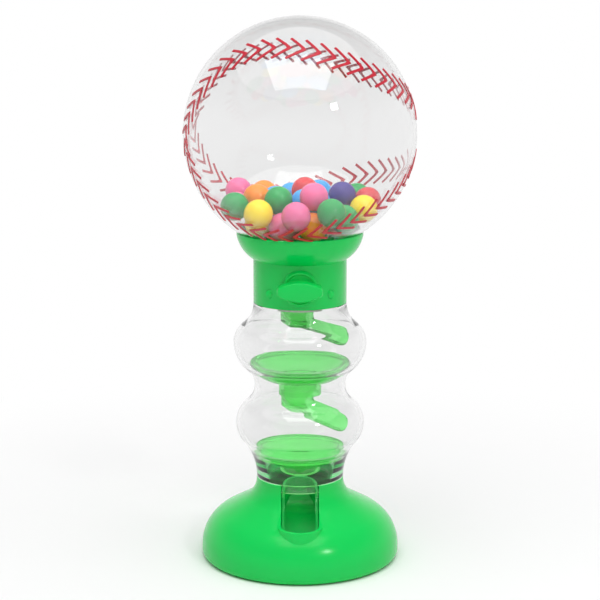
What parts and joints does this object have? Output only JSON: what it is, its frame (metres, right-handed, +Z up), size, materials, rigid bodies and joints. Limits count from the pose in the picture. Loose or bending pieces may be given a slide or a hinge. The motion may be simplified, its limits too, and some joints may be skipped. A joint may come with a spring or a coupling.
{
  "type": "gumball machine",
  "caption": "Gumball machine with a clear stitched globe, a green turn-knob neck, a clear double-bulge column with funnels and spoon chutes, and a green bell base.",
  "frame": {"origin": "middle of the underside", "axes": "+Z up, -Y to the front where the knob and the delivery slot are, +X to the right seen from the front"},
  "size_m": [0.102, 0.102, 0.2425],
  "materials": {
    "green_plastic": "glossy injection moulded",
    "translucent_green": "tinted, lightly frosted",
    "clear_plastic": "clear polished moulding",
    "inner_plastic": "plain moulded",
    "plate_plastic": "plain moulded",
    "screw_steel": "zinc plated",
    "gum_pink": "hard candy shell, satin gloss",
    "gum_green": "hard candy shell, satin gloss",
    "gum_orange": "hard candy shell, satin gloss",
    "gum_yellow": "hard candy shell, satin gloss",
    "gum_red": "hard candy shell, satin gloss",
    "gum_purple": "hard candy shell, satin gloss",
    "gum_blue": "hard candy shell, satin gloss"
  },
  "bodies": {
    "machine": {"neck_front_shell": "green_plastic", "neck_rear_shell": "green_plastic", "neck_screws": "screw_steel", "hopper_housing": "inner_plastic", "column_front_shell": "clear_plastic", "column_rear_shell": "clear_plastic", "upper_chute": "translucent_green", "upper_funnel": "translucent_green", "lower_chute": "translucent_green", "lower_funnel": "translucent_green", "base_shell": "green_plastic", "delivery_chute": "green_plastic", "base_plate": "plate_plastic", "base_screws": "screw_steel"},
    "dispenser": {"knob": "green_plastic", "dispensing_drum": "inner_plastic"},
    "filled_globe": {"globe": "clear_plastic", "pink_gumballs": "gum_pink", "green_gumballs": "gum_green", "orange_gumballs": "gum_orange", "yellow_gumballs": "gum_yellow", "red_gumballs": "gum_red", "purple_gumballs": "gum_purple", "blue_gumballs": "gum_blue"}
  },
  "joints": [
    {"name": "knob_turn", "type": "hinge", "parent": "machine", "child": "dispenser", "pos_m": [0, 0, 0.1268], "axis": [0, 1, 0], "continuous": true},
    {"name": "globe_lift", "type": "slide", "parent": "machine", "child": "filled_globe", "axis": [0, 0, 1], "range_m": [0, 0.02]}
  ]
}
